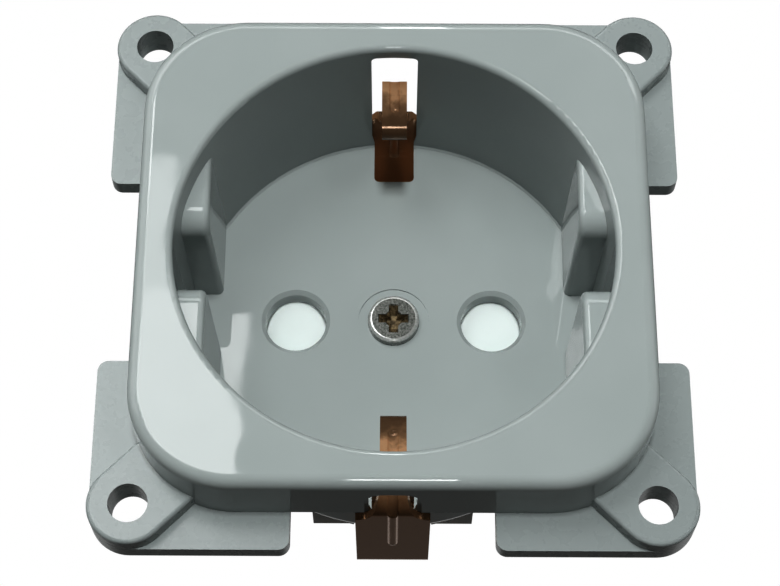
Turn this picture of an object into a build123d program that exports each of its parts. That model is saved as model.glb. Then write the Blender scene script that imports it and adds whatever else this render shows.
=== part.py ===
from build123d import *

import os
from math import radians, sqrt, tan

# Earthed two-pole wall socket insert with a deep round recess, in millimetres.
# Every piece is drawn lying on its back: X to the right, Y up the face, Z out of the front.
# The origin is on the recess axis, in the panel plane that the corner plates seat on.
# The finished pieces are then stood upright, so that the front faces -Y and +Z is up.

# Front and skirt
face_size = 46.2
face_corner_r = 9.5
face_edge_r = 1.1
face_height = 8.4
face_wall = 1.5
skirt_wall = 1.6
skirt_draft = 1.0

# Corner plates and screw ears
hole_spacing = 46.0
hole_d = 3.5
ear_r = 3.65
ear_height = 3.5
ear_edge_r = 0.35
flange_thickness = 1.8
flange_gap = 18.0
flange_corner_r = 1.0
rib_thickness = 1.4

# Recess cup
recess_d = 39.6
recess_depth = 18.0
recess_draft = 1.0
recess_lip_r = 0.6
recess_floor_r = 0.2
cup_wall = 1.1
cup_edge_r = 1.6
floor_thickness = 2.0

# Key noses at the sides of the recess
key_span = 33.2
key_gap = 5.6
key_depth = 3.1
key_draft = 1.3
key_gap_r = 2.0
key_edge_r = 0.6

# Pin holes
pin_spacing = 19.0
pin_d = 4.8
pin_hole_gap = 1.1
pin_hole_bevel = 0.4

# Openings for the earth clips
slot_width = 4.4
slot_corner_r = 0.5
slot_floor_run = 0.4
floor_slot_width = 3.95
floor_slot_reach = 15.3
floor_slot_corner_r = 0.5
notch_width = 5.0
notch_depth = 2.2
notch_corner_r = 1.8

# Earth strap
strap_width = 6.9
strap_thickness = 0.7
strap_bend_r = 0.6
strap_skirt_gap = 0.4
strap_clearance = 0.05
clip_width = 2.35
clip_shoulder_drop = 1.4
clip_flare_h = 4.5
clip_bend_depth = 13.9
clip_crest_span = 27.8
clip_crest_depth = 6.6
clip_crest_r = 0.5
clip_tip_inset = 1.85
clip_tip_depth = 4.45
clip_rib_width = 1.0
clip_rib_rise = 0.3
arm_rib_length = 8.0
leg_rib_length = 6.0
tip_rib_length = 2.5

# Centre screw
screw_d = 3.0
screw_head_d = 5.0
screw_head_h = 0.95
screw_head_edge_r = 0.4
screw_seat_d = 6.9
screw_seat_depth = 0.15
screw_clearance = 0.2
screw_tail = 1.2
cross_width = 0.9
cross_span = 3.0
cross_floor_span = 1.4
cross_core_d = 1.8
cross_depth = 1.0
thread_clearance = 0.02
collar_d = 5.0
collar_h = 1.2

# Shutter and its pocket
pocket_depth = 3.6
shutter_thickness = 3.2
shutter_gap = 0.15
shutter_side_gap = 0.2
shutter_half_width = 13.2
shutter_pad_width = 7.6
shutter_low = 2.7
shutter_travel = 5.4
shutter_bar_height = 2.0
shutter_ramp_drop = 2.6
shutter_corner_r = 1.0
boss_r = 3.0
boss_gap = 0.4
spring_d = 2.8
spring_wire_d = 0.35
spring_length = 8.2
spring_turns = 5
spring_gap = 0.06
spring_trough_gap = 0.3
spigot_d = 1.6
spigot_h = 1.2

# Contact carrier
carrier_d = 37.0
carrier_plate = 6.2
carrier_edge_r = 0.6
carrier_depth = 18.6
carrier_wall = 1.4
bar_width = 15.5
bar_reach = 17.3
bar_rise = 1.7
strap_notch_reach = 15.0
strap_notch_gap = 0.3
channel_wall = 1.6
pin_passage_gap = 0.3
chamber_clearance = 0.35
wire_notch_width = 4.3
carrier_corner_r = 2.5

# Pin contacts
contact_thickness = 0.6
contact_bend_r = 0.5
contact_grip = 0.4
contact_mouth = 5.8
contact_root = 6.2
contact_leaf_reach = 3.1
contact_web_reach = 4.4
contact_height = 5.4
contact_tail_height = 4.2
contact_float = 1.2

# Terminals
terminal_pitch_y = 7.8
earth_terminal_y = 9.0
tail_width = 6.4
tail_reach = 6.6
tail_inset = 3.3
clamp_size = 6.0
clamp_thickness = 1.0
clamp_lug_w = 0.8
clamp_lug_h = 1.2
clamp_lug_gap = 0.15
terminal_screw_d = 3.5
terminal_head_d = 6.0
terminal_head_h = 2.2
terminal_head_edge = 0.4
terminal_slot_width = 0.9
terminal_slot_depth = 1.1
terminal_shank = 5.2
terminal_tip_gap = 0.5

# Levels that follow from the sizes above
floor_z = face_height - recess_depth
floor_rear = floor_z - floor_thickness
pocket_floor = floor_rear - pocket_depth
plate_rear = floor_rear - carrier_plate
bar_rear = plate_rear - bar_rise
bridge_rear = bar_rear - strap_thickness
carrier_rear = floor_rear - carrier_depth
face_under = face_height - face_wall
rim_r = recess_d / 2
cup_r = rim_r + cup_wall
face_half = face_size / 2
cavity_half = face_half - skirt_wall
hole_half = hole_spacing / 2
flange_half = hole_half + ear_r
pin_x = pin_spacing / 2
pin_hole_r = (pin_d + pin_hole_gap) / 2
seat_y = cavity_half - strap_skirt_gap - strap_thickness - strap_clearance
arm_y = seat_y + strap_clearance + strap_thickness / 2
clip_bend_z = face_height - clip_bend_depth
clip_crest = (clip_crest_span / 2, face_height - clip_crest_depth)
clip_tip = (arm_y - clip_tip_inset, face_height - clip_tip_depth)
shutter_front = floor_rear - shutter_gap
shutter_rear = shutter_front - shutter_thickness
shutter_bar_low = boss_r + boss_gap
shutter_bar_high = shutter_bar_low + shutter_bar_height
channel_half = strap_width / 2 + strap_notch_gap
chamber_in = channel_half + channel_wall
chamber_out = pin_x + contact_web_reach + contact_thickness / 2 + chamber_clearance
chamber_low = -terminal_pitch_y - tail_width / 2 - chamber_clearance
chamber_high = contact_root / 2 + contact_thickness + chamber_clearance
tail_seat = plate_rear - contact_float - contact_tail_height + contact_thickness
terminal_x = pin_x + contact_web_reach - contact_thickness / 2 - tail_inset
tip_hole_r = terminal_screw_d / 2 + screw_clearance
past = 1.0


def slab(x0, x1, y0, y1, z0, z1):
    """A box between two values on each axis."""
    middle = Pos((x0 + x1) / 2, (y0 + y1) / 2, (z0 + z1) / 2)
    return middle * Box(abs(x1 - x0), abs(y1 - y0), abs(z1 - z0))


def post(r, z0, z1, x=0.0, y=0.0):
    """A round post or hole between two levels."""
    return Pos(x, y, (z0 + z1) / 2) * Cylinder(r, abs(z1 - z0))


def prism(sketch, z0, z1, taper=0.0):
    """A sketch in the XY plane, raised from one level to another."""
    return extrude(Pos(0, 0, z0) * sketch, z1 - z0, dir=(0, 0, 1), taper=taper)


def left_and_right(piece):
    """A piece on the right of the face, repeated on the left."""
    return [piece, mirror(piece, about=Plane.YZ)]


def above_and_below(piece):
    """A piece at the top of the face, repeated at the bottom."""
    return [piece, mirror(piece, about=Plane.XZ)]


def at_corners(piece):
    """A piece in the first quarter, repeated in all four."""
    pair = left_and_right(piece)
    return pair + [mirror(item, about=Plane.XZ) for item in pair]


def offset_points(points, distance):
    """The corners of a line that runs beside another, to its left, at one distance."""
    lines = []
    for start, end in zip(points, points[1:]):
        along = (Vector(*end) - Vector(*start)).normalized()
        lines.append((Vector(*start) + Vector(-along.Y, along.X) * distance, along))
    corners = [lines[0][0]]
    for (a, u), (b, v) in zip(lines, lines[1:]):
        step = ((b.X - a.X) * v.Y - (b.Y - a.Y) * v.X) / (u.X * v.Y - u.Y * v.X)
        corners.append(a + u * step)
    last_start, last_along = lines[-1]
    corners.append(last_start + last_along * (Vector(*points[-1]) - Vector(*points[-2])).length)
    return corners


def strip(points, right, left, radii):
    """The section of a folded sheet: a band beside a line of points, with rounded bends."""
    turns = []
    for a, b, c in zip(points, points[1:], points[2:]):
        turns.append((b[0] - a[0]) * (c[1] - b[1]) - (b[1] - a[1]) * (c[0] - b[0]))
    sides = []
    for distance in (right, left):
        bends = []
        for turn, radius in zip(turns, radii):
            inside = max(right, left) if turn > 0 else -min(right, left)
            beside = distance if turn > 0 else -distance
            bends.append(radius + inside - beside)
        sides.append(FilletPolyline(*offset_points(points, distance), radius=bends))
    ends = [Line(sides[0] @ k, sides[1] @ k) for k in (0, 1)]
    return make_face([*sides[0].edges(), ends[1], *sides[1].edges(), ends[0]])


def bead(line, distance, radius):
    """Rods with round ends in the YZ plane, beside a line of points at one distance."""
    points = [Vector(0, point.X, point.Y) for point in offset_points(line, distance)]
    rods = [Pos(*point) * Sphere(radius) for point in points]
    for start, end in zip(points, points[1:]):
        rod = Cylinder(radius, (end - start).length, align=(Align.CENTER, Align.CENTER, Align.MIN))
        rods.append(Plane(start, z_dir=end - start) * rod)
    return rods


def tongue(reach, width):
    """A flat tongue along the diagonal of a corner, with a round end about the screw hole."""
    bar = Rectangle(reach, width, align=(Align.MAX, Align.CENTER))
    return Pos(hole_half, hole_half) * Rot(0, 0, 45) * (bar + Circle(width / 2))


def recess():
    """The space of the recess: a drafted bore with a rounded lip and floor edge."""
    lean = tan(radians(recess_draft))
    floor_r = rim_r - recess_depth * lean
    lip_start = rim_r - recess_lip_r * lean
    mouth_r = lip_start + recess_lip_r
    lip = RadiusArc((lip_start, face_height - recess_lip_r), (mouth_r, face_height), recess_lip_r)
    side = Polyline(
        lip @ 1,
        (mouth_r, face_height + past),
        (0, face_height + past),
        (0, floor_z),
        (floor_r - recess_floor_r, floor_z),
        (floor_r + recess_floor_r * lean, floor_z + recess_floor_r),
        lip @ 0,
    )
    return revolve(Plane.XZ * make_face([*side.edges(), lip]), Axis.Z)


def key_nose():
    """One quarter of the keys: a drafted circular segment beside the central gap."""
    outer_r = rim_r + cup_wall / 2
    top = face_height - key_depth
    rise = (top - floor_z) * tan(radians(key_draft))
    layers = []
    for level, inset in ((floor_z - floor_thickness / 2, 0.0), (top, rise)):
        edge_x = key_span / 2 + inset
        round_wall = Circle(outer_r)
        beside = Pos(edge_x, key_gap / 2) * Rectangle(outer_r, outer_r, align=(Align.MIN, Align.MIN))
        layers.append(Pos(0, 0, level) * (round_wall & beside))
    nose = loft(layers, ruled=True)
    crown = nose.edges().filter_by_position(Axis.Z, top - past / 10, top + past / 10)
    nose = fillet(crown.sort_by(Axis.Y)[0], key_gap_r)
    crown = nose.edges().filter_by_position(Axis.Z, top - past / 10, top + past / 10)
    return fillet(crown.filter_by(GeomType.LINE).sort_by(Axis.X)[0], key_edge_r)


def front_block():
    """The drafted block of the front, with a rounded front edge."""
    foot = face_size + 2 * (face_height - flange_thickness) * tan(radians(skirt_draft))
    front = RectangleRounded(foot, foot, face_corner_r)
    block = prism(front, flange_thickness, face_height, taper=skirt_draft)
    return fillet(block.faces().sort_by(Axis.Z)[-1].edges(), face_edge_r)


def corner_plate():
    """The plate of one corner, rounded about its screw hole."""
    plate_low = flange_gap / 2
    plate = Rectangle(flange_half - plate_low, flange_half - plate_low, align=(Align.MIN, Align.MIN))
    plate = Pos(plate_low, plate_low) * plate
    by_diagonal = plate.vertices().sort_by(lambda v: v.X + v.Y)
    plate = fillet(by_diagonal[1:3], flange_corner_r)
    plate = fillet(plate.vertices().sort_by_distance((flange_half, flange_half))[0], ear_r)
    return prism(plate, 0, flange_thickness)


def screw_ear():
    """The ear of one corner, which runs in under the front."""
    ear = prism(tongue(2 * ear_r + face_corner_r, 2 * ear_r), 0, ear_height)
    return fillet(ear.faces().sort_by(Axis.Z)[-1].edges(), ear_edge_r)


def corner_rib(inner_r):
    """The rib of one corner, from the cup to the inside of the skirt."""
    reach = (cavity_half - inner_r) * sqrt(2) + inner_r + skirt_wall / 2
    half = rib_thickness / 2
    rib = slab(cup_r - cup_wall / 2, reach, -half, half, 0, face_under + past / 2)
    return Rot(0, 0, 45) * rib


def cup():
    """The outside of the recess cup."""
    depth = face_under + past / 2 - floor_rear
    cone = Cone(cup_r - depth * tan(radians(recess_draft)), cup_r, depth)
    cone = Pos(0, 0, floor_rear + depth / 2) * cone
    return fillet(cone.faces().sort_by(Axis.Z)[0].edges(), cup_edge_r)


def clip_openings():
    """The upper clip's openings: wall slot, floor slot, seat of the arm and notch in the skirt."""
    half_slot = slot_width / 2
    slot_low = rim_r - slot_floor_run
    slot = slab(-half_slot, half_slot, slot_low, cavity_half, floor_rear - past, face_under)
    slot = fillet(slot.edges().filter_by(Axis.Y).group_by(Axis.Z)[-1], slot_corner_r)
    half_floor = floor_slot_width / 2
    floor_slot = slab(-half_floor, half_floor, floor_slot_reach, rim_r, floor_rear - past, floor_z + past)
    floor_slot = fillet(floor_slot.edges().filter_by(Axis.Z).group_by(Axis.Y)[0], floor_slot_corner_r)
    seat = slab(-channel_half, channel_half, seat_y, cavity_half, floor_rear - past, face_under)
    half_notch = notch_width / 2
    notch_top = face_height - notch_depth
    notch = slab(-half_notch, half_notch, cavity_half - past / 2, face_size, 0, notch_top)
    notch = fillet(notch.edges().filter_by(Axis.Y).group_by(Axis.Z)[-1], notch_corner_r)
    return slot, floor_slot, seat, notch


def make_front_housing():
    """Front, skirt, cup, keys, corner plates and ears, moulded as one piece."""
    body = front_block()
    body += at_corners(corner_plate())
    body += at_corners(screw_ear())
    inner_r = face_corner_r - skirt_wall
    body -= prism(RectangleRounded(2 * cavity_half, 2 * cavity_half, inner_r), -past, face_under)
    body += at_corners(corner_rib(inner_r))
    body += cup()
    body -= recess()
    body += at_corners(key_nose())
    for opening in clip_openings():
        body -= above_and_below(opening)

    body -= at_corners(post(hole_d / 2, -past, ear_height + past, hole_half, hole_half))
    for x in (-pin_x, pin_x):
        body -= post(pin_hole_r, floor_rear - past, floor_z + past, x)
        bevel = Cone(pin_hole_r, pin_hole_r + pin_hole_bevel, pin_hole_bevel)
        body -= Pos(x, 0, floor_z - pin_hole_bevel / 2) * bevel
    body -= post(screw_d / 2 + screw_clearance, floor_rear - past, floor_z + past)
    body -= post(screw_seat_d / 2, floor_z - screw_seat_depth, floor_z + past)
    return body


def strap_sheet():
    """The folded strip at full width: bridge, arms, legs and fingers."""
    half = strap_thickness / 2
    upper = [(arm_y, bar_rear - half), (arm_y, clip_bend_z), clip_crest, clip_tip]
    line = [(-y, z) for y, z in reversed(upper)] + upper
    radii = [clip_crest_r, strap_bend_r, strap_bend_r, strap_bend_r, strap_bend_r, clip_crest_r]
    return extrude(Plane.YZ * strip(line, -half, half, radii), strap_width, both=True)


def strap_outline():
    """The strap's outline seen along the arms: wide arms that flare in to narrow clips."""
    flare_z = clip_bend_z - clip_shoulder_drop + clip_flare_h
    outline = Rectangle(strap_width, flare_z - bridge_rear, align=(Align.CENTER, Align.MAX))
    flare = Ellipse((strap_width - clip_width) / 2, clip_flare_h)
    outline -= Pos(-strap_width / 2, 0) * flare + Pos(strap_width / 2, 0) * flare
    outline += Rectangle(clip_width, face_height - flare_z, align=(Align.CENTER, Align.MIN))
    return Pos(0, flare_z) * outline


def make_earth_strap():
    """One folded strap: a bridge behind the carrier, two arms and two sprung clips with pressed ribs."""
    strap = strap_sheet() & extrude(Plane.XZ * strap_outline(), face_size, both=True)

    half = strap_thickness / 2
    rib_r = (clip_rib_width**2 / 4 + clip_rib_rise**2) / (2 * clip_rib_rise)
    bend = Vector(arm_y, clip_bend_z)
    crest = Vector(*clip_crest)
    tip = Vector(*clip_tip)
    leg = (crest - bend).normalized()
    finger = (tip - crest).normalized()
    arm_rib = [Vector(arm_y, clip_bend_z - arm_rib_length), bend, bend + leg * leg_rib_length]
    tip_rib = [tip - finger * tip_rib_length, tip + finger * rib_r]
    for rib in (arm_rib, tip_rib):
        for rod in bead(rib, rib_r - clip_rib_rise - half, rib_r):
            strap += above_and_below(rod)
        for rod in bead(rib, rib_r - clip_rib_rise + half, rib_r):
            strap -= above_and_below(rod)
    past_tip = Box(strap_width, strap_width, strap_width, align=(Align.CENTER, Align.CENTER, Align.MIN))
    strap -= above_and_below(Plane((0, *clip_tip), z_dir=(0, finger.X, finger.Y)) * past_tip)

    strap += post(collar_d / 2, bridge_rear - collar_h, bridge_rear)
    strap -= post(screw_d / 2 + thread_clearance, bridge_rear - collar_h - past, bar_rear + past)
    hole_r = terminal_screw_d / 2 + thread_clearance
    return strap - post(hole_r, bridge_rear - past, bar_rear + past, 0, -earth_terminal_y)


def make_centre_screw():
    """Pan-head screw with a cross recess that holds the housing, the carrier and the strap together."""
    seat_z = floor_z - screw_seat_depth
    top_z = seat_z + screw_head_h
    head = post(screw_head_d / 2, seat_z, top_z)
    head = fillet(head.faces().sort_by(Axis.Z)[-1].edges(), screw_head_edge_r)
    screw = head + post(screw_d / 2, bridge_rear - collar_h - screw_tail, seat_z)
    screw -= Pos(0, 0, top_z - cross_depth / 2) * Cone(cross_width / 4, cross_core_d / 2, cross_depth)
    for turn in (0, 90):
        arm = Rectangle(cross_span, cross_width)
        floor = Rectangle(cross_floor_span, cross_width / 2)
        cut = loft([Pos(0, 0, top_z) * arm, Pos(0, 0, top_z - cross_depth) * floor], ruled=True)
        screw -= Rot(0, 0, turn) * cut
    return screw


def make_shutter():
    """White slider: two ramped pads joined by a bar, with a spigot for its spring."""
    middle_y = (shutter_bar_high - shutter_low) / 2
    plan = Pos(0, middle_y) * Rectangle(2 * shutter_half_width, shutter_bar_high + shutter_low)
    gap_half = shutter_half_width - shutter_pad_width
    gap_low = -shutter_low - past
    plan -= Pos(0, (shutter_bar_low + gap_low) / 2) * Rectangle(2 * gap_half, shutter_bar_low - gap_low)
    across = plan.vertices().group_by(Axis.X)
    plan = fillet(across[0] + across[-1], shutter_corner_r)
    slider = prism(plan, shutter_rear, shutter_front)
    ramp = make_face(
        Polyline(
            (-shutter_low - past, shutter_front - shutter_ramp_drop),
            (-shutter_low, shutter_front - shutter_ramp_drop),
            (shutter_low, shutter_front),
            (shutter_low, shutter_front + past),
            (-shutter_low - past, shutter_front + past),
            close=True,
        )
    )
    slider -= extrude(Plane.YZ * ramp, shutter_half_width + past, both=True)
    spigot = Cylinder(spigot_d / 2, spigot_h, align=(Align.CENTER, Align.CENTER, Align.MIN))
    middle_z = (shutter_front + shutter_rear) / 2
    return slider + Pos(0, shutter_bar_high, middle_z) * Rot(-90, 0, 0) * spigot


def make_shutter_spring():
    """Compression spring between the shutter's bar and the end of its trough."""
    middle_z = (shutter_front + shutter_rear) / 2
    coil_r = (spring_d - spring_wire_d) / 2
    height = spring_length - spring_wire_d - 2 * spring_gap
    coil = Helix(height / spring_turns, height, coil_r)
    wire = Plane(coil @ 0, z_dir=coil % 0) * Circle(spring_wire_d / 2)
    spring = sweep(wire, path=coil)
    low_y = shutter_bar_high + spring_gap + spring_wire_d / 2
    return Pos(0, low_y, middle_z) * Rot(-90, 0, 0) * spring


def make_contact():
    """Right-hand pin contact: two sprung leaves on a web that folds into a tapped tail."""
    half = contact_thickness / 2
    web_x = pin_x + contact_web_reach
    mouth_x = pin_x - contact_leaf_reach
    mouth_y = contact_mouth / 2 + half
    throat_y = (pin_d - contact_grip) / 2 + half
    root_y = contact_root / 2 + half
    upper = [(mouth_x, mouth_y), (pin_x, throat_y), (web_x, root_y)]
    line = upper + [(x, -y) for x, y in reversed(upper)]
    radii = [contact_leaf_reach, contact_bend_r, contact_bend_r, contact_leaf_reach]
    web_front = plate_rear - contact_float
    leaf_front = web_front - contact_tail_height
    clip = prism(strip(line, -half, half, radii), leaf_front - contact_height, leaf_front)

    tail_y = -terminal_pitch_y
    tail_high = tail_y + tail_width / 2
    web_top = root_y - contact_bend_r - contact_thickness
    clip += slab(web_x - half, web_x + half, tail_high, web_top, leaf_front, web_front)
    seat_z = tail_seat - half
    tail_line = [(web_x, web_front), (web_x, seat_z), (web_x - tail_reach, seat_z)]
    tail = Plane.XZ * strip(tail_line, -half, half, [contact_bend_r])
    clip += Pos(0, tail_high, 0) * extrude(tail, tail_width)
    hole_r = terminal_screw_d / 2 + thread_clearance
    return clip - post(hole_r, seat_z - past, seat_z + past, terminal_x, tail_y)


def make_clamp_plate(lug):
    """Clamp plate of a terminal, with its seat at the origin; a lug stops it turning on its tail."""
    half = clamp_size / 2
    plate = slab(-half, half, -half, half, -clamp_thickness, 0)
    if lug:
        edge = tail_inset - tail_reach + contact_thickness / 2 - clamp_lug_gap
        plate += slab(edge - clamp_lug_w, half, -half, half, -clamp_thickness, 0)
        plate += slab(edge - clamp_lug_w, edge, -half, half, -clamp_thickness, clamp_lug_h)
    plate = fillet(plate.edges().filter_by(Axis.Z).group_by(Axis.X)[-1], clamp_thickness / 2)
    return plate - post(terminal_screw_d / 2 + screw_clearance, -clamp_thickness - past, past)


def make_terminal_screw():
    """Slotted cheese-head screw of a terminal; the underside of its head is at the origin."""
    head = post(terminal_head_d / 2, -terminal_head_h, 0)
    head = fillet(head.faces().sort_by(Axis.Z)[0].edges(), terminal_head_edge)
    half_slot = terminal_slot_width / 2
    slot_floor = terminal_slot_depth - terminal_head_h
    reach = terminal_head_d
    head -= slab(-reach, reach, -half_slot, half_slot, -terminal_head_h - past, slot_floor)
    shank = post(terminal_screw_d / 2, 0, terminal_shank)
    shank = chamfer(shank.faces().sort_by(Axis.Z)[-1].edges(), terminal_head_edge)
    return head + shank


def chamber_shell():
    """The rounded block behind the carrier's plate that holds both chambers."""
    width = 2 * (chamber_out + carrier_wall)
    height = chamber_high - chamber_low + 2 * carrier_wall
    shell = Pos(0, (chamber_high + chamber_low) / 2) * RectangleRounded(width, height, carrier_corner_r)
    return prism(shell, carrier_rear, plate_rear)


def contact_chamber():
    """The space of the right-hand contact, open at the back."""
    chamber = slab(chamber_in, chamber_out, chamber_low, chamber_high, carrier_rear - past, plate_rear)
    return fillet(chamber.edges().filter_by(Axis.Z), carrier_corner_r - carrier_wall)


def terminal_boss():
    """The boss under the right-hand contact's tail, with a hole for the tip of the screw."""
    boss_in = pin_x + contact_web_reach - tail_reach
    boss_out = pin_x + contact_web_reach - contact_thickness / 2 - clamp_lug_gap
    boss_high = -terminal_pitch_y + tail_width / 2
    boss = slab(boss_in, boss_out, chamber_low - past / 2, boss_high, tail_seat, plate_rear + past / 2)
    boss = fillet(boss.edges().filter_by(Axis.Y).group_by(Axis.X)[-1].sort_by(Axis.Z)[0], contact_bend_r)
    tip_z = tail_seat - contact_thickness - clamp_thickness + terminal_shank + terminal_tip_gap
    return boss - post(tip_hole_r, tail_seat - past, tip_z, terminal_x, -terminal_pitch_y)


def wire_entry():
    """The opening for the right-hand wire, in the lower wall of its chamber."""
    half = wire_notch_width / 2
    low = chamber_low - carrier_wall - past
    high = chamber_low + past / 2
    front = tail_seat - contact_thickness
    wire = slab(terminal_x - half, terminal_x + half, low, high, carrier_rear - past, front)
    return fillet(wire.edges().filter_by(Axis.Y).group_by(Axis.Z)[-1], half / 2)


def shutter_pocket():
    """The space of the shutter and its spring, about the boss of the centre screw."""
    low = -shutter_low - shutter_side_gap
    high = shutter_bar_high + shutter_travel + shutter_side_gap
    half_width = shutter_half_width + shutter_side_gap
    pocket = slab(-half_width, half_width, low, high, pocket_floor, floor_rear + past)
    pocket = fillet(pocket.edges().filter_by(Axis.Z), shutter_corner_r)
    half_trough = spring_d / 2 + spring_trough_gap
    trough_end = shutter_bar_high + spring_length
    trough = slab(-half_trough, half_trough, shutter_bar_high, trough_end, pocket_floor, floor_rear + past)
    return pocket + trough - post(boss_r, pocket_floor, floor_rear)


def make_contact_carrier():
    """Rear moulding: shutter pocket in front, contact chambers behind, strap channel between."""
    body = post(carrier_d / 2, plate_rear, floor_rear)
    body = fillet(body.faces().sort_by(Axis.Z)[0].edges(), carrier_edge_r)
    body += slab(-bar_width / 2, bar_width / 2, -bar_reach, bar_reach, bar_rear, floor_rear)
    body += chamber_shell()
    body -= left_and_right(contact_chamber())
    body += left_and_right(terminal_boss())
    body -= left_and_right(wire_entry())

    below = carrier_rear - past
    body -= slab(-channel_half, channel_half, -face_size, face_size, below, bar_rear)
    notch = slab(-channel_half, channel_half, strap_notch_reach, face_size, below, floor_rear + past)
    body -= above_and_below(notch)
    earth_tip = bridge_rear - clamp_thickness + terminal_shank + terminal_tip_gap
    body -= post(tip_hole_r, bar_rear - past, earth_tip, 0, -earth_terminal_y)
    body -= shutter_pocket()
    body -= post(screw_d / 2 + screw_clearance, carrier_rear - past, floor_rear + past)
    for x in (-pin_x, pin_x):
        body -= post(pin_hole_r + pin_passage_gap, plate_rear - past, pocket_floor + past, x)
    return body


def main():
    """Build every piece, stand it upright and write it out."""
    contact = make_contact()
    clamp_z = tail_seat - contact_thickness
    right = Pos(terminal_x, -terminal_pitch_y, clamp_z)
    left = Pos(-terminal_x, -terminal_pitch_y, clamp_z) * Rot(0, 0, 180)
    lower = Pos(0, -earth_terminal_y, bridge_rear)
    head_drop = Pos(0, 0, -clamp_thickness)
    terminal_screw = make_terminal_screw()
    pieces = {
        "front_housing": make_front_housing(),
        "earth_strap": make_earth_strap(),
        "centre_screw": make_centre_screw(),
        "shutter": make_shutter(),
        "shutter_spring": make_shutter_spring(),
        "contact_carrier": make_contact_carrier(),
        "live_contact": contact,
        "neutral_contact": mirror(contact, about=Plane.YZ),
    }
    for pole, place in (("live", right), ("neutral", left), ("earth", lower)):
        pieces[pole + "_clamp_plate"] = place * make_clamp_plate(lug=pole != "earth")
        pieces[pole + "_terminal_screw"] = place * head_drop * terminal_screw

    os.makedirs("parts", exist_ok=True)
    upright = Rot(90, 0, 0)
    for name, piece in pieces.items():
        export_step(upright * piece, os.path.join("parts", name + ".step"))


main()
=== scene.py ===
from math import cos, pi, radians, sin

import bpy
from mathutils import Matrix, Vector


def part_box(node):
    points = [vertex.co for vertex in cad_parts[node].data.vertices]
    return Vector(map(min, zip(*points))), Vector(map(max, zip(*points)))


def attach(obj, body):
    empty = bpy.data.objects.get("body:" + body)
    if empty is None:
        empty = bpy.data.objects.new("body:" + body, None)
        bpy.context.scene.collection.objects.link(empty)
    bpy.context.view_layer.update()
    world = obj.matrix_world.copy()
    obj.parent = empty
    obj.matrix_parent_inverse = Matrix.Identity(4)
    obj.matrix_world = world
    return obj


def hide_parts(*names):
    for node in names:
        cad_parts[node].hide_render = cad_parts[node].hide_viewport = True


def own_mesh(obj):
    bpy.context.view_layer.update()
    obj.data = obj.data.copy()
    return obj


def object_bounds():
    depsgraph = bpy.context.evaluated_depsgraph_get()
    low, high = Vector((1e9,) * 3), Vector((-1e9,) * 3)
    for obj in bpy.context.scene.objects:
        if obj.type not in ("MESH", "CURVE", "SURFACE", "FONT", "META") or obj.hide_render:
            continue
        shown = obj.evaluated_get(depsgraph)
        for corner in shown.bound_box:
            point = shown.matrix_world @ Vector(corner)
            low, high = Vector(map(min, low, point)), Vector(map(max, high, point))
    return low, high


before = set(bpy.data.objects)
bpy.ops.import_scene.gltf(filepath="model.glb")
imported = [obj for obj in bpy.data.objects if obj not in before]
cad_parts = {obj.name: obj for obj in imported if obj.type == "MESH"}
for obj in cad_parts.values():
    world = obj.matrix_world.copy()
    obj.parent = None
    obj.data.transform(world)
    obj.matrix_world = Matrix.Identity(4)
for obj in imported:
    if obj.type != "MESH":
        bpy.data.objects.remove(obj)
cad_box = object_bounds()

# Camera, in the row frame: metres and degrees
IMAGE_WIDTH = 780
FOCAL_PIXELS = 2015.118
SENSOR_MM = 36.0
CAMERA_PLACE = (-0.00025, -0.16981, -0.07879)
CAMERA_PITCH = 24.52
CAMERA_YAW = 0.03
CAMERA_ROLL = 0.25
CAMERA_NEAR = 0.01

# Contrast of the photograph, as a gamma of the view
VIEW_GAMMA = 0.74

# Stage
FLOOR_SIZE = 6.0
FLOOR_DROP = 0.15
FLOOR_COLOUR = (0.60, 0.61, 0.61, 1.0)
FLOOR_GLOW = 1.3
FLOOR_ROUGHNESS = 0.9

# Backdrop that the camera sees, and the dim surround for light and reflections
BACKDROP_COLOUR = (1.0, 1.0, 1.0, 1.0)
SURROUND_COLOUR = (1.0, 1.0, 0.92, 1.0)
SURROUND_STRENGTH = 0.04

# Soft lights aimed at the insert: azimuth, elevation, width, height, power and what they light.
# A "matt" light makes no mirrored image, and a "gloss" light makes nothing else.
LIGHT_DISTANCE = 1.0
LIGHTS = {
    "key": (0.6, 0.0, 0.10, 0.16, 8.3, "matt"),
    "front_right": (25.0, 0.0, 0.12, 0.12, 0.6, "matt"),
    "low": (0.0, -55.0, 0.50, 0.50, 0.25, "matt"),
    "left_high": (-60.0, 30.0, 0.90, 0.90, 3.4, "both"),
    "right_high": (60.0, 30.0, 0.90, 0.90, 0.7, "both"),
    "right_side": (75.0, 8.0, 0.60, 0.60, 0.6, "both"),
    "rear_left": (-118.0, 18.0, 0.70, 0.70, 6.0, "matt"),
    "rear_right": (118.0, 18.0, 0.70, 0.70, 6.0, "matt"),
    "rear_high": (175.0, 40.0, 0.80, 0.80, 7.0, "matt"),
    "rear_level": (180.0, 5.0, 1.20, 0.50, 0.9, "gloss"),
    "rear_low": (180.0, -20.0, 1.20, 0.80, 0.36, "both"),
    "glint_low": (0.6, -32.0, 0.065, 0.18, 0.65, "gloss"),
    "glint_high": (1.0, 50.0, 0.04, 0.28, 0.40, "gloss"),
    "glint_wide": (0.0, 45.0, 1.40, 0.26, 3.8, "gloss"),
}

# Panels mirrored in the left of the front: across, up, width, height, power
PANEL_FRONT = -0.80
PANELS = {
    "panel_low": (-0.2385, 0.2285, 0.323, 0.257, 1.78),
    "panel_middle": (-0.2575, 0.3950, 0.285, 0.076, 0.34),
    "panel_high": (-0.3250, 0.4800, 0.150, 0.100, 0.45),
}

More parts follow.
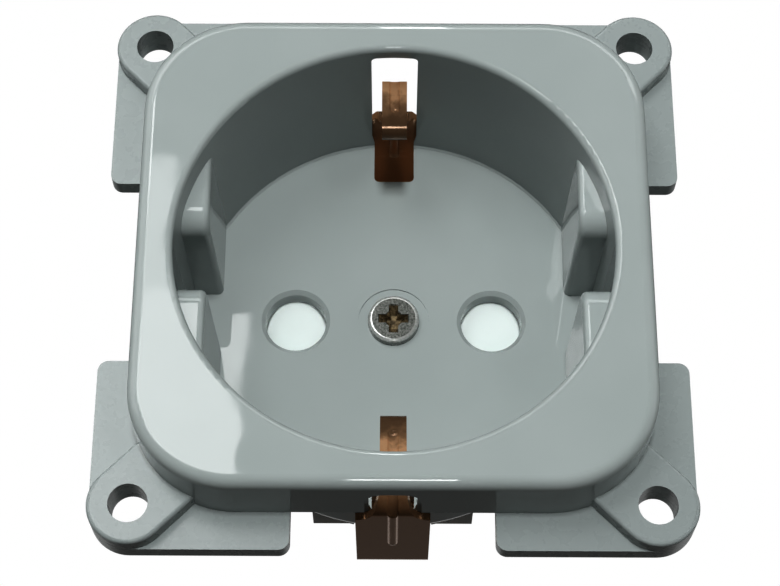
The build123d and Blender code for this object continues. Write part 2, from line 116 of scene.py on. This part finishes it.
# Finish of each node
FINISHES = {
    "front_housing": "housing_plastic",
    "contact_carrier": "carrier_plastic",
    "shutter": "shutter_plastic",
    "earth_strap": "strap_bronze",
    "live_contact": "contact_bronze",
    "neutral_contact": "contact_bronze",
    "centre_screw": "nickel_plate",
    "live_terminal_screw": "zinc_steel",
    "neutral_terminal_screw": "zinc_steel",
    "earth_terminal_screw": "zinc_steel",
    "live_clamp_plate": "zinc_steel",
    "neutral_clamp_plate": "zinc_steel",
    "earth_clamp_plate": "zinc_steel",
    "shutter_spring": "spring_steel",
}

# Plastics and plain metals: dark tone, light tone, range of roughness, depth of the grain in metres
PLASTICS = {
    "housing_plastic": ((0.335, 0.374, 0.369), (0.353, 0.391, 0.387), (0.015, 0.035), 0.0000008),
    "carrier_plastic": ((0.50, 0.52, 0.51), (0.56, 0.58, 0.57), (0.38, 0.52), 0.00002),
    "shutter_plastic": ((0.74, 0.815, 0.80), (0.79, 0.855, 0.84), (0.28, 0.38), 0.000012),
}
METALS = {
    "contact_bronze": ((0.46, 0.27, 0.13), (0.62, 0.40, 0.20), (0.24, 0.38), 0.00001),
    "zinc_steel": ((0.50, 0.50, 0.49), (0.66, 0.66, 0.65), (0.28, 0.42), 0.00001),
    "spring_steel": ((0.42, 0.42, 0.43), (0.55, 0.55, 0.56), (0.22, 0.34), 0.000004),
}

# Patterns of the plastics and plain metals; a scale is in features per metre
NOISE_LOW = 0.3
NOISE_HIGH = 0.7
FLOW_SCALE = 90.0
PLASTIC_GLOSS_SCALE = 700.0
PLASTIC_GRAIN_SCALE = 9000.0
PLASTIC_GRAIN_STRENGTH = 0.25
PLASTIC_IOR = 1.5
TARNISH_SCALE = 420.0
TARNISH_LOW = 0.32
TARNISH_HIGH = 0.68
METAL_GLOSS_SCALE = 1500.0
METAL_GRAIN_SCALE = 14000.0
METAL_GRAIN_STRENGTH = 0.3

# Slow waves of the housing, and its satin on the plates and on the ears outside the skirt, darkened
# there with painted shade, in metres
WAVE_SCALE = 140.0
WAVE_DEPTH = 0.00003
PLATE_RADIUS = 0.0215
PLATE_FRONT = -0.0019
SKIRT_CORNER = 0.0136
SKIRT_CORNER_R = 0.00965
EAR_FRONT = -0.0037
SATIN_SCALE = 1600.0
SATIN_ROUGHNESS = 0.25
# Painted shade: these satin colours are darker than the glossy housing
SHADED_SATIN_DARK = (0.280, 0.314, 0.312)
SHADED_SATIN_LIGHT = (0.285, 0.319, 0.317)

# Tarnish of the strap, with painted shade on the clips' crests and a painted highlight towards their
# tips, by the distance from the middle of the insert and up to a depth, in metres
STAIN_AND_PAINTED_LIGHT_START = 0.0135
STAIN_AND_PAINTED_LIGHT_END = 0.0205
STAIN_AND_PAINTED_LIGHT_DEPTHS = (0.0100, 0.0140)
STAIN_AND_PAINTED_LIGHT_WANDER = 0.0007
STAIN_AND_PAINTED_LIGHT_SCALE = 900.0
# Low stops are painted shade on the crests, and the stop at 0.62 a painted highlight near the tips
STAIN_AND_PAINTED_LIGHT_TONES = (
    (0.00, (0.11, 0.066, 0.036)),
    (0.30, (0.15, 0.092, 0.052)),
    (0.48, (0.30, 0.185, 0.105)),
    (0.62, (0.64, 0.400, 0.230)),
    (1.00, (0.44, 0.240, 0.120)),
)
STRAP_METALLIC = 0.45
STRAP_GLOSS = (0.10, 0.18)
STRAP_GLOSS_SCALE = 2600.0
STRAP_GRAIN_SCALE = 3600.0
STRAP_GRAIN_STRENGTH = 0.3
STRAP_GRAIN = 0.00002

# Plating of the centre screw, a painted highlight round the edge of its head, and its worn recess, in
# metres
SPECKLE_SCALE = 4200.0
NICKEL_TONES = ((0.38, (0.09, 0.10, 0.09)), (0.64, (0.33, 0.34, 0.32)))
# Painted highlight: light nickel in a band round the edge of the head
RIM_HIGHLIGHT_TONES = ((0.38, (0.52, 0.54, 0.52)), (0.64, (0.80, 0.82, 0.80)))
BRASS_SCALE = 2400.0
BRASS_TONES = ((0.35, (0.08, 0.062, 0.036)), (0.65, (0.34, 0.27, 0.16)))
SCREW_METALLIC = 0.6
SCREW_GLOSS = (0.16, 0.28)
SCREW_GRAIN_STRENGTH = 0.35
SCREW_GRAIN = 0.00002
RECESS_R = 0.0016
RECESS_EDGE = 0.00008
RECESS_DEPTH = 0.0012
RIM_HIGHLIGHT_START = 0.00208
RIM_HIGHLIGHT_END = 0.00250
RIM_HIGHLIGHT_BAND = ((0.0, (0, 0, 0)), (0.2, (1, 1, 1)), (0.8, (1, 1, 1)), (1.0, (0, 0, 0)))

# Return spring, in metres
WIRE_R = 0.000175
COIL_TURNS = 7
CLOSED_TURNS = 1.0
STEPS_PER_TURN = 40
WIRE_SIDES = 10


def new_material(name):
    """A new node material, its node tree and its shader."""
    material = bpy.data.materials.new(name)
    material.use_nodes = True
    return material, material.node_tree, material.node_tree.nodes["Principled BSDF"]


def noise(tree, scale, detail=3.0, roughness=0.55):
    """Noise over the object's own coordinates; the scale is in features per metre."""
    place = tree.nodes.new("ShaderNodeTexCoord")
    cloud = tree.nodes.new("ShaderNodeTexNoise")
    cloud.inputs["Scale"].default_value = scale
    cloud.inputs["Detail"].default_value = detail
    cloud.inputs["Roughness"].default_value = roughness
    tree.links.new(place.outputs["Object"], cloud.inputs["Vector"])
    return cloud.outputs["Fac"]


def tones(tree, source, stops):
    """A colour ramp from (position, colour) stops."""
    ramp = tree.nodes.new("ShaderNodeValToRGB")
    while len(ramp.color_ramp.elements) < len(stops):
        ramp.color_ramp.elements.new(0.5)
    for element, (position, colour) in zip(ramp.color_ramp.elements, stops):
        element.position = position
        element.color = (*colour, 1.0)
    tree.links.new(source, ramp.inputs["Fac"])
    return ramp.outputs["Color"]


def spread(tree, source, low, high):
    """A noise value spread over a range."""
    scale = tree.nodes.new("ShaderNodeMapRange")
    scale.inputs["From Min"].default_value = NOISE_LOW
    scale.inputs["From Max"].default_value = NOISE_HIGH
    scale.inputs["To Min"].default_value = low
    scale.inputs["To Max"].default_value = high
    tree.links.new(source, scale.inputs["Value"])
    return scale.outputs["Result"]


def relief(tree, target, source, strength, depth):
    """Relief from a height, for a shader or for a finer relief; the depth is in metres."""
    bump = tree.nodes.new("ShaderNodeBump")
    bump.inputs["Strength"].default_value = strength
    bump.inputs["Distance"].default_value = depth
    tree.links.new(source, bump.inputs["Height"])
    tree.links.new(bump.outputs["Normal"], target.inputs["Normal"])


def coordinates(tree):
    """The object's own coordinates, in metres, as one vector and as three values."""
    place = tree.nodes.new("ShaderNodeTexCoord")
    split = tree.nodes.new("ShaderNodeSeparateXYZ")
    tree.links.new(place.outputs["Object"], split.inputs["Vector"])
    return place.outputs["Object"], split.outputs


def vector_step(tree, operation, source, value=(0.0, 0.0, 0.0)):
    """A vector, changed by one operation with a fixed vector."""
    step = tree.nodes.new("ShaderNodeVectorMath")
    step.operation = operation
    step.inputs[1].default_value = value
    tree.links.new(source, step.inputs[0])
    return step.outputs


def axis_distance(tree, place):
    """The distance from the recess axis."""
    flat = vector_step(tree, "MULTIPLY", place, (1.0, 0.0, 1.0))["Vector"]
    return vector_step(tree, "LENGTH", flat)["Value"]


def corner_distance(tree, place):
    """The distance outwards from the middles of the skirt's rounded corners."""
    quarter = vector_step(tree, "ABSOLUTE", place)["Vector"]
    shifted = vector_step(tree, "SUBTRACT", quarter, (SKIRT_CORNER, 0.0, SKIRT_CORNER))["Vector"]
    return axis_distance(tree, vector_step(tree, "MAXIMUM", shifted)["Vector"])


def combine(tree, operation, first, second=None):
    """A sum, product or other function of one or two values."""
    step = tree.nodes.new("ShaderNodeMath")
    step.operation = operation
    for socket, value in zip(step.inputs, (first, second)):
        if isinstance(value, float):
            socket.default_value = value
        elif value is not None:
            tree.links.new(value, socket)
    return step.outputs["Value"]


def share(tree, source, start, end):
    """A value's way from a start to an end, from 0 to 1."""
    scale = tree.nodes.new("ShaderNodeMapRange")
    scale.inputs["From Min"].default_value = start
    scale.inputs["From Max"].default_value = end
    tree.links.new(source, scale.inputs["Value"])
    return scale.outputs["Result"]


def blend(tree, factor, first, second):
    """The first colour where the factor is 0, and the second where it is 1."""
    mix = tree.nodes.new("ShaderNodeMix")
    mix.data_type = "RGBA"
    tree.links.new(factor, mix.inputs["Factor"])
    tree.links.new(first, mix.inputs["A"])
    tree.links.new(second, mix.inputs["B"])
    return mix.outputs["Result"]


def moulded_plastic(name):
    """Injection-moulded plastic: flow marks in the colour, uneven gloss and a fine grain."""
    dark, light, gloss, grain_depth = PLASTICS[name]
    material, tree, shader = new_material(name)
    flow = noise(tree, FLOW_SCALE, detail=2.0)
    colour = tones(tree, flow, ((NOISE_LOW, dark), (NOISE_HIGH, light)))
    tree.links.new(colour, shader.inputs["Base Color"])
    patches = noise(tree, PLASTIC_GLOSS_SCALE, detail=4.0)
    tree.links.new(spread(tree, patches, *gloss), shader.inputs["Roughness"])
    grain = noise(tree, PLASTIC_GRAIN_SCALE, detail=2.0)
    relief(tree, shader, grain, PLASTIC_GRAIN_STRENGTH, grain_depth)
    shader.inputs["IOR"].default_value = PLASTIC_IOR
    return material


def rolled_metal(name):
    """Rolled or drawn metal: stained colour, uneven gloss and a fine grain."""
    dark, light, gloss, grain_depth = METALS[name]
    material, tree, shader = new_material(name)
    tarnish = noise(tree, TARNISH_SCALE, detail=6.0, roughness=0.62)
    colour = tones(tree, tarnish, ((TARNISH_LOW, dark), (TARNISH_HIGH, light)))
    tree.links.new(colour, shader.inputs["Base Color"])
    shader.inputs["Metallic"].default_value = 1.0
    patches = noise(tree, METAL_GLOSS_SCALE)
    tree.links.new(spread(tree, patches, *gloss), shader.inputs["Roughness"])
    grain = noise(tree, METAL_GRAIN_SCALE, detail=2.0)
    relief(tree, shader, grain, METAL_GRAIN_STRENGTH, grain_depth)
    return material


def satin_and_shade_zone(tree):
    """1 on the corner plates and on the ears outside the skirt, where the satin and its painted shade
    go, and 0 elsewhere.
    """
    place, (_, depth, _) = coordinates(tree)
    inner = combine(tree, "GREATER_THAN", axis_distance(tree, place), PLATE_RADIUS)
    plates = combine(tree, "MULTIPLY", inner, combine(tree, "GREATER_THAN", depth, PLATE_FRONT))
    outer = combine(tree, "GREATER_THAN", corner_distance(tree, place), SKIRT_CORNER_R)
    ears = combine(tree, "MULTIPLY", outer, combine(tree, "GREATER_THAN", depth, EAR_FRONT))
    return combine(tree, "MAXIMUM", plates, ears)


def housing_plastic(name):
    """Glossy plastic with slow waves, and satin darkened with painted shade on the ears and corner
    plates.
    """
    material = moulded_plastic(name)
    tree = material.node_tree
    shader = tree.nodes["Principled BSDF"]
    satin_and_shade = satin_and_shade_zone(tree)
    glossy = shader.inputs["Base Color"].links[0].from_socket
    streaks = noise(tree, SATIN_SCALE, detail=4.0)
    dull_and_shaded = tones(tree, streaks, ((NOISE_LOW, SHADED_SATIN_DARK), (NOISE_HIGH, SHADED_SATIN_LIGHT)))
    # Painted shade: the darker satin colour on the ears and corner plates
    tree.links.new(blend(tree, satin_and_shade, glossy, dull_and_shaded), shader.inputs["Base Color"])
    gloss = shader.inputs["Roughness"].links[0].from_socket
    rough = combine(tree, "ADD", gloss, combine(tree, "MULTIPLY", satin_and_shade, SATIN_ROUGHNESS))
    tree.links.new(rough, shader.inputs["Roughness"])
    grain = shader.inputs["Normal"].links[0].from_node
    relief(tree, grain, noise(tree, WAVE_SCALE, detail=1.0), 1.0, WAVE_DEPTH)
    return material


def bronze_with_painted_light(name):
    """Tarnished bronze strip, copper brown outside the recess and behind; painted shade darkens the
    clips' crests and a painted highlight lightens them towards their tips.
    """
    material, tree, shader = new_material(name)
    _, (_, depth, height) = coordinates(tree)
    wander = spread(tree, noise(tree, STAIN_AND_PAINTED_LIGHT_SCALE, detail=5.0), -STAIN_AND_PAINTED_LIGHT_WANDER, STAIN_AND_PAINTED_LIGHT_WANDER)
    reach = combine(tree, "ADD", combine(tree, "ABSOLUTE", height), wander)
    clean = share(tree, depth, *STAIN_AND_PAINTED_LIGHT_DEPTHS)
    # Painted shade on the crests and a painted highlight towards the tips; the arms behind keep their
    # own copper brown
    stain_and_painted_light = combine(tree, "MAXIMUM", share(tree, reach, STAIN_AND_PAINTED_LIGHT_START, STAIN_AND_PAINTED_LIGHT_END), clean)
    tree.links.new(tones(tree, stain_and_painted_light, STAIN_AND_PAINTED_LIGHT_TONES), shader.inputs["Base Color"])
    shader.inputs["Metallic"].default_value = STRAP_METALLIC
    patches = noise(tree, STRAP_GLOSS_SCALE)
    tree.links.new(spread(tree, patches, *STRAP_GLOSS), shader.inputs["Roughness"])
    grain = noise(tree, STRAP_GRAIN_SCALE, detail=3.0)
    relief(tree, shader, grain, STRAP_GRAIN_STRENGTH, STRAP_GRAIN)
    return material


def recess_zone(tree, radius, depth, front):
    """1 inside the screw's recess, and 0 on the rest of the screw."""
    inside = share(tree, depth, front + RECESS_EDGE, front + 2 * RECESS_EDGE)
    near = combine(tree, "LESS_THAN", radius, RECESS_R)
    shallow = combine(tree, "LESS_THAN", depth, front + RECESS_DEPTH)
    return combine(tree, "MULTIPLY", inside, combine(tree, "MULTIPLY", near, shallow))


def plated_screw(name, node):
    """Speckled nickel with a painted highlight round the edge of the head, worn through to brass inside
    the recess.
    """
    material, tree, shader = new_material(name)
    place, (_, depth, _) = coordinates(tree)
    radius = axis_distance(tree, place)
    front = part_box(node)[0].y
    speckle = noise(tree, SPECKLE_SCALE, detail=6.0, roughness=0.7)
    nickel = tones(tree, speckle, NICKEL_TONES)
    highlight = tones(tree, speckle, RIM_HIGHLIGHT_TONES)
    # Painted highlight in a band round the edge of the head
    rim_highlight = tones(tree, share(tree, radius, RIM_HIGHLIGHT_START, RIM_HIGHLIGHT_END), RIM_HIGHLIGHT_BAND)
    plate = blend(tree, rim_highlight, nickel, highlight)
    brass = tones(tree, noise(tree, BRASS_SCALE), BRASS_TONES)
    worn = recess_zone(tree, radius, depth, front)
    tree.links.new(blend(tree, worn, plate, brass), shader.inputs["Base Color"])
    shader.inputs["Metallic"].default_value = SCREW_METALLIC
    tree.links.new(spread(tree, speckle, *SCREW_GLOSS), shader.inputs["Roughness"])
    relief(tree, shader, speckle, SCREW_GRAIN_STRENGTH, SCREW_GRAIN)
    return material


def make_materials():
    """The material of each finish, by its name."""
    materials = {"housing_plastic": housing_plastic("housing_plastic")}
    for name in ("carrier_plastic", "shutter_plastic"):
        materials[name] = moulded_plastic(name)
    for name in METALS:
        materials[name] = rolled_metal(name)
    materials["strap_bronze"] = bronze_with_painted_light("strap_bronze")
    materials["nickel_plate"] = plated_screw("nickel_plate", "centre_screw")
    return materials


def paint(materials):
    """Give each node of the frame its material."""
    for name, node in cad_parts.items():
        node.data.materials.clear()
        node.data.materials.append(materials[FINISHES[name]])


def spring_line(low, high, coil_r, centre):
    """Points along the wire: closed end turns and open turns between them."""
    wire_d = 2 * WIRE_R
    open_turns = COIL_TURNS - 2 * CLOSED_TURNS
    bottom = low + WIRE_R
    rise = high - low - wire_d
    open_pitch = (rise - 2 * CLOSED_TURNS * wire_d) / open_turns
    points = []
    for step in range(COIL_TURNS * STEPS_PER_TURN + 1):
        turns = step / STEPS_PER_TURN
        first = min(turns, CLOSED_TURNS)
        middle = min(max(turns - CLOSED_TURNS, 0), open_turns)
        last = max(turns - CLOSED_TURNS - open_turns, 0)
        z = bottom + (first + last) * wire_d + middle * open_pitch
        angle = 2 * pi * turns
        points.append(Vector((centre.x + coil_r * cos(angle), centre.y + coil_r * sin(angle), z)))
    return points


def tube_faces(rings, sides):
    """The faces of a closed tube, whose vertices are numbered ring by ring."""
    faces = []
    for ring in range(rings - 1):
        for side in range(sides):
            a = ring * sides + side
            b = ring * sides + (side + 1) % sides
            faces.append((a, b, b + sides, a + sides))
    faces.append(tuple(reversed(range(sides))))
    faces.append(tuple(range((rings - 1) * sides, rings * sides)))
    return faces


def tube(name, points, radius, sides):
    """A round wire along a line of points, closed at both ends."""
    vertices = []
    for i, point in enumerate(points):
        before = points[max(i - 1, 0)]
        after = points[min(i + 1, len(points) - 1)]
        along = (after - before).normalized()
        across = along.cross(Vector((0, 0, 1))).normalized()
        up = across.cross(along)
        for side in range(sides):
            angle = 2 * pi * side / sides
            vertices.append(point + radius * (cos(angle) * across + sin(angle) * up))
    mesh = bpy.data.meshes.new(name)
    mesh.from_pydata(vertices, [], tube_faces(len(points), sides))
    mesh.polygons.foreach_set("use_smooth", [True] * len(mesh.polygons))
    piece = bpy.data.objects.new(name, mesh)
    bpy.context.scene.collection.objects.link(piece)
    return piece


def make_spring(material):
    """The shutter's return spring, in the place of its CAD node."""
    low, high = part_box("shutter_spring")
    centre = (low + high) / 2
    coil_r = (high.x - low.x) / 2 - WIRE_R
    piece = tube("return_spring", spring_line(low.z, high.z, coil_r, centre), WIRE_R, WIRE_SIDES)
    piece.data.materials.append(material)
    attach(piece, "insert")
    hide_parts("shutter_spring")
    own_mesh(piece)


def make_floor():
    """A plain pale floor, well under the insert, which hangs by its own screws."""
    half = FLOOR_SIZE / 2
    level = cad_box[0][2] - FLOOR_DROP
    corners = [(-half, -half, level), (half, -half, level), (half, half, level), (-half, half, level)]
    mesh = bpy.data.meshes.new("floor")
    mesh.from_pydata(corners, [], [(0, 1, 2, 3)])
    floor = bpy.data.objects.new("floor", mesh)
    bpy.context.scene.collection.objects.link(floor)
    material, _, shader = new_material("floor_paper")
    shader.inputs["Base Color"].default_value = FLOOR_COLOUR
    shader.inputs["Emission Color"].default_value = FLOOR_COLOUR
    shader.inputs["Emission Strength"].default_value = FLOOR_GLOW
    shader.inputs["Roughness"].default_value = FLOOR_ROUGHNESS
    floor.data.materials.append(material)
    floor.visible_diffuse = False
    floor.visible_glossy = False
    floor.visible_shadow = False


def make_camera():
    """The photograph's camera: in front of the insert and below it, looking up."""
    lens = bpy.data.cameras.new("camera")
    lens.sensor_fit = "HORIZONTAL"
    lens.sensor_width = SENSOR_MM
    lens.lens = FOCAL_PIXELS / IMAGE_WIDTH * SENSOR_MM
    lens.clip_start = CAMERA_NEAR
    camera = bpy.data.objects.new("camera", lens)
    bpy.context.scene.collection.objects.link(camera)
    camera.location = CAMERA_PLACE
    camera.rotation_mode = "ZYX"
    camera.rotation_euler = (radians(90 + CAMERA_PITCH), radians(CAMERA_YAW), radians(CAMERA_ROLL))
    bpy.context.scene.camera = camera


def softbox(name, place, aim, width, height, power, kind):
    """A rectangular soft light at a place, turned towards a point."""
    light = bpy.data.lights.new(name, "AREA")
    light.shape = "RECTANGLE"
    light.size = width
    light.size_y = height
    light.energy = power
    lamp = bpy.data.objects.new(name, light)
    bpy.context.scene.collection.objects.link(lamp)
    lamp.location = place
    turn = (Vector(aim) - Vector(place)).to_track_quat("-Z", "Y")
    lamp.rotation_euler = turn.to_euler()
    lamp.visible_camera = False
    lamp.visible_diffuse = kind != "gloss"
    lamp.visible_glossy = kind != "matt"


def around(azimuth, elevation):
    """A place round the insert; azimuth 0 is straight in front, and positive to the right."""
    turn, lift = radians(azimuth), radians(elevation)
    level = LIGHT_DISTANCE * cos(lift)
    return (level * sin(turn), -level * cos(turn), LIGHT_DISTANCE * sin(lift))


def make_lights():
    """Light from in front, weaker lights round the insert, and panels for the front's reflection."""
    for name, (azimuth, elevation, width, height, power, kind) in LIGHTS.items():
        softbox(name, around(azimuth, elevation), (0, 0, 0), width, height, power, kind)
    for name, (across, up, width, height, power) in PANELS.items():
        softbox(name, (across, PANEL_FRONT, up), (across, 0.0, up), width, height, power, "both")


def make_world():
    """White behind the insert, with a dim surround for light and reflections."""
    world = bpy.data.worlds.new("surround")
    world.use_nodes = True
    bpy.context.scene.world = world
    tree = world.node_tree
    dim = tree.nodes["Background"]
    dim.inputs["Color"].default_value = SURROUND_COLOUR
    dim.inputs["Strength"].default_value = SURROUND_STRENGTH
    white = tree.nodes.new("ShaderNodeBackground")
    white.inputs["Color"].default_value = BACKDROP_COLOUR
    seen = tree.nodes.new("ShaderNodeLightPath")
    mix = tree.nodes.new("ShaderNodeMixShader")
    tree.links.new(seen.outputs["Is Camera Ray"], mix.inputs["Fac"])
    tree.links.new(dim.outputs["Background"], mix.inputs[1])
    tree.links.new(white.outputs["Background"], mix.inputs[2])
    tree.links.new(mix.outputs["Shader"], tree.nodes["World Output"].inputs["Surface"])


materials = make_materials()
paint(materials)
make_spring(materials["spring_steel"])
make_floor()
make_camera()
make_lights()
make_world()
bpy.context.scene.view_settings.view_transform = "Standard"
bpy.context.scene.view_settings.gamma = VIEW_GAMMA
